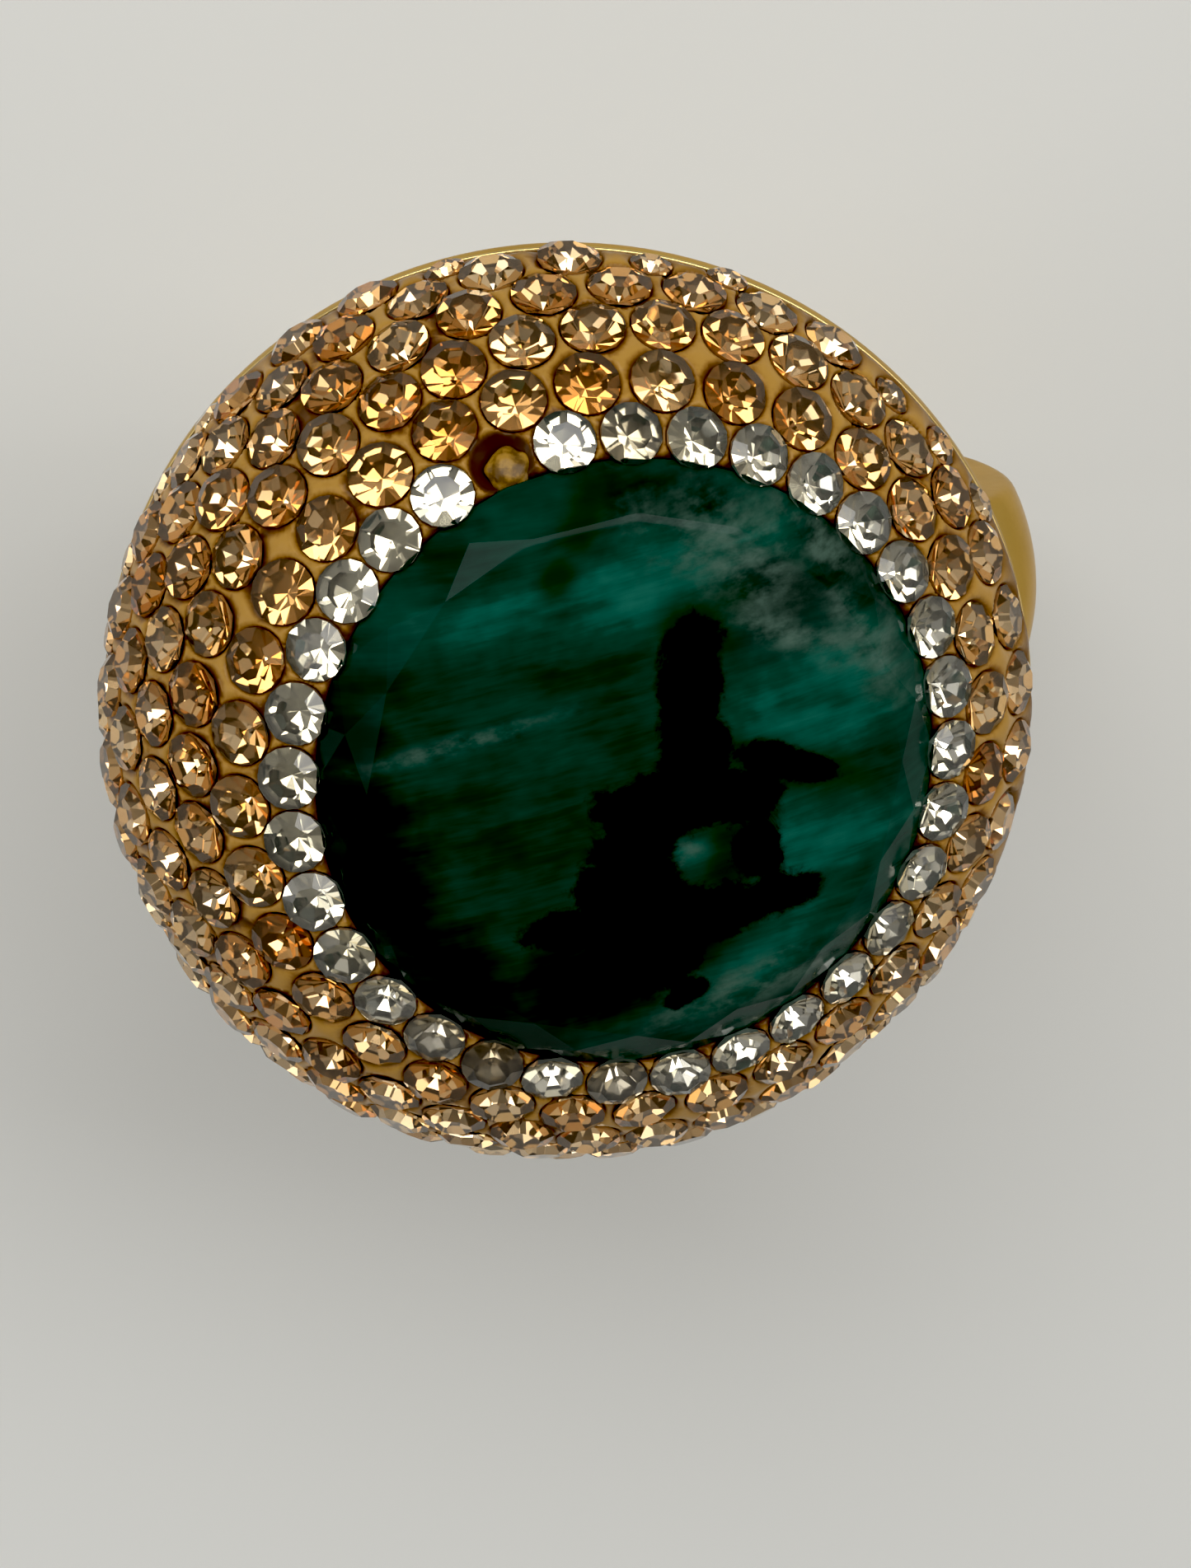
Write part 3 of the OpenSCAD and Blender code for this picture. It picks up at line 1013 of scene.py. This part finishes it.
def stone_piece():
    """The stone: a low dome, a ring of facets and a straight girdle over a tapered back."""
    r = stone.radius
    table_r = TABLE_REACH * r
    table_h = stone.rim + TABLE_RISE * (stone.top - stone.rim)
    sag = stone.top - table_h
    dome_r = (table_r ** 2 + sag ** 2) / (2 * sag)
    step = math.pi / SIDES
    mid_r = MID_REACH * r
    mid_x = mid_r * math.cos(step)
    mid_h = table_h - (mid_x - table_r) / (r - table_r) * (table_h - stone.rim)

    turns = np.arange(SIDES * EDGE_SPLIT) * 2 * step / EDGE_SPLIT
    off = turns % (2 * step) - step
    border = table_r * math.cos(step) / np.cos(off)
    rows = [np.array([[0.0, 0.0, stone.top]])]
    for level in range(1, DOME_RINGS + 1):
        out = border * level / DOME_RINGS
        height = stone.top - dome_r + np.sqrt(dome_r ** 2 - out ** 2)
        rows.append(np.column_stack([out * np.cos(turns), out * np.sin(turns), height]))
    count = len(turns)
    faces = [(0, 1 + k, 1 + (k + 1) % count) for k in range(count)]
    for level in range(DOME_RINGS - 1):
        inner = 1 + level * count
        outer = inner + count
        for k in range(count):
            k2 = (k + 1) % count
            faces.append((inner + k, outer + k, outer + k2, inner + k2))
    smooth = [True] * len(faces)
    edge = 1 + (DOME_RINGS - 1) * count
    mid = edge + count
    high = mid + SIDES
    low = high + 2 * SIDES
    foot = low + 2 * SIDES
    rows += [
        ring(mid_r, mid_h, SIDES, step),
        ring(r, stone.rim, 2 * SIDES),
        ring(r, 0.0, 2 * SIDES),
        ring(stone.foot_radius, -stone.depth, 2 * SIDES),
    ]
    for k in range(SIDES):
        before = (k - 1) % SIDES
        here, middle, beyond = 2 * k, 2 * k + 1, (2 * k + 2) % (2 * SIDES)
        corner = edge + k * EDGE_SPLIT
        faces.append((corner, mid + before, high + here, mid + k))
        faces.append((mid + k, high + here, high + middle))
        faces.append((mid + k, high + middle, high + beyond))
        for part in range(EDGE_SPLIT):
            first = edge + k * EDGE_SPLIT + part
            second = edge + (k * EDGE_SPLIT + part + 1) % count
            faces.append((first, mid + k, second))
        for one, two in ((here, middle), (middle, beyond)):
            faces.append((high + one, low + one, low + two, high + two))
            faces.append((low + one, foot + one, foot + two, low + two))
    faces.append(tuple(foot + k for k in reversed(range(2 * SIDES))))
    smooth += [False] * (len(faces) - len(smooth))
    local = np.vstack(rows)
    piece = new_mesh("green_stone", stone.world(local), faces, False)
    piece.data.polygons.foreach_set("use_smooth", smooth)
    finish_piece(piece, ["centre_stone"], "green_stone", stone_polish())
    attribute(piece.data, "stone_plane", "POINT", "FLOAT_VECTOR", local * (1.0, 1.0, 0.0))


# ---------------------------------------------------------------- build

# Tarnished crystals of the clear row, by their order round the stone, and how tarnished
DULLED = {8: 0.35, 20: 0.25, 21: 0.7, 23: 0.4}

gold = gold_metal()
clear_glass = crystal_glass(
    "clear_glass", (1.0, 0.985, 0.93, 1), (0.96, 0.935, 0.85, 1), (0.62, 0.52, 0.36, 1),
    (1.0, 1.0, 1.0, 1))
clear_foil = crystal_foil(
    "clear_foil", (0.99, 0.97, 0.89, 1), (0.91, 0.88, 0.78, 1), (0.42, 0.36, 0.26, 1),
    (0.9, 0.84, 0.7, 1), 0.06, 0.92)
champagne_glass = crystal_glass(
    "champagne_glass", (0.99, 0.86, 0.68, 1), (0.93, 0.70, 0.43, 1), (0.75, 0.66, 0.55, 1),
    (0.80, 0.52, 0.26, 1))
champagne_foil = crystal_foil(
    "champagne_foil", (0.99, 0.83, 0.60, 1), (0.87, 0.62, 0.36, 1), (0.55, 0.38, 0.20, 1),
    (0.66, 0.40, 0.18, 1), 0.05, 0.95)

crystal_piece(
    "clear_crystals", "clear_row", clear, seed=5, dulled=DULLED, tones=(0.4, 0.3),
    slot="clear_crystal", glass=clear_glass, foil=clear_foil)
for number, row in enumerate(CHAMPAGNE_ROWS):
    crystal_piece(
        f"champagne_crystals_{number + 1}", row, champagne[row], seed=11 + number, dulled={},
        tones=(0.35, 0.3), slot="champagne_crystal", glass=champagne_glass, foil=champagne_foil)
clay_piece()
resin_piece()
stone_piece()
band_piece(gold)
tray_piece(gold)
for node, slot, material in (
    ("solder_joint", "solder", solder_metal()),
    ("stone_cement", "cement", cement_matte()),
):
    part = frame["nodes"][node]
    part.data.materials.clear()
    part.data.materials.append(material)


# ---------------------------------------------------------------- floor, light, camera

FLOOR_RADIUS = 1500.0
FLOOR_THICKNESS = 4.0


def floor_piece():
    """Plain pale floor under the band."""
    top = cad_points("shank")[:, 2].min()
    foot = top - FLOOR_THICKNESS
    outline = [(0.0, foot), (FLOOR_RADIUS, foot), (FLOOR_RADIUS, top), (0.0, top)]
    points, faces = revolve(outline, 64)
    piece = new_mesh("floor", points, faces, False)
    s = Shader("floor_paper", Roughness=0.7)
    soft = s.noise(s.place(), 0.02, 2.0)
    s.use("Base Color", s.mix(soft, (0.74, 0.74, 0.705, 1), (0.78, 0.78, 0.745, 1)))
    piece.data.materials.append(s.material)


def softbox(name, direction, distance, width, height, watts):
    """An area light that faces the ring from a direction. Its sizes are in metres."""
    data = bpy.data.lights.new(name, "AREA")
    data.shape = "RECTANGLE"
    data.size = width
    data.size_y = height
    data.energy = watts
    light = bpy.data.objects.new(name, data)
    place = Vector(direction).normalized() * distance
    light.location = place
    light.rotation_euler = (-place).to_track_quat("-Z", "Y").to_euler()
    bpy.context.scene.collection.objects.link(light)


def studio_world():
    """Dim surroundings, darkest overhead."""
    world = bpy.data.worlds.new("studio")
    world.use_nodes = True
    tree = world.node_tree
    place = tree.nodes.new("ShaderNodeTexCoord").outputs["Generated"]
    split = tree.nodes.new("ShaderNodeSeparateXYZ")
    tree.links.new(place, split.inputs[0])
    shade = tree.nodes.new("ShaderNodeValToRGB")
    tree.links.new(split.outputs["Z"], shade.inputs[0])
    shade.color_ramp.elements[0].color = (0.60, 0.59, 0.57, 1)
    shade.color_ramp.elements[1].color = (0.08, 0.08, 0.08, 1)
    tree.links.new(shade.outputs[0], tree.nodes["Background"].inputs["Color"])
    bpy.context.scene.world = world


# The camera's distance, how far it stands off the vertical, how far it tips, and its focal length
VIEW_DISTANCE = 150.0
VIEW_LEAN = math.radians(15.5)
VIEW_PITCH = math.radians(17.48)
FOCAL = 135.07

floor_piece()
studio_world()
softbox("key", (0.12, 0.53, 0.84), 0.45, 0.58, 0.18, 1.42)
softbox("left", (-0.9, -0.1, 0.55), 0.5, 0.14, 0.4, 0.25)
softbox("upper_left", (-0.69, 0.28, 0.67), 0.42, 0.16, 0.20, 0.12)
softbox("right", (0.85, 0.05, 0.6), 0.5, 0.14, 0.4, 0.25)

camera_data = bpy.data.cameras.new("camera")
camera_data.sensor_width = 36.0
camera_data.lens = FOCAL
camera_data.clip_start = 0.01
camera_data.clip_end = 10.0
camera = bpy.data.objects.new("camera", camera_data)
camera.location = (
    0.0,
    VIEW_DISTANCE * math.sin(VIEW_LEAN) * MM,
    VIEW_DISTANCE * math.cos(VIEW_LEAN) * MM,
)
camera.rotation_euler = (-VIEW_PITCH, 0.0, 0.0)
bpy.context.scene.collection.objects.link(camera)
bpy.context.scene.camera = camera

# The darkest tones fall to black, as in a telephone's picture.
display = bpy.context.scene.view_settings
display.view_transform = "Standard"
display.use_curve_mapping = True
display.curve_mapping.black_level = (0.015, 0.015, 0.015)
display.curve_mapping.update()
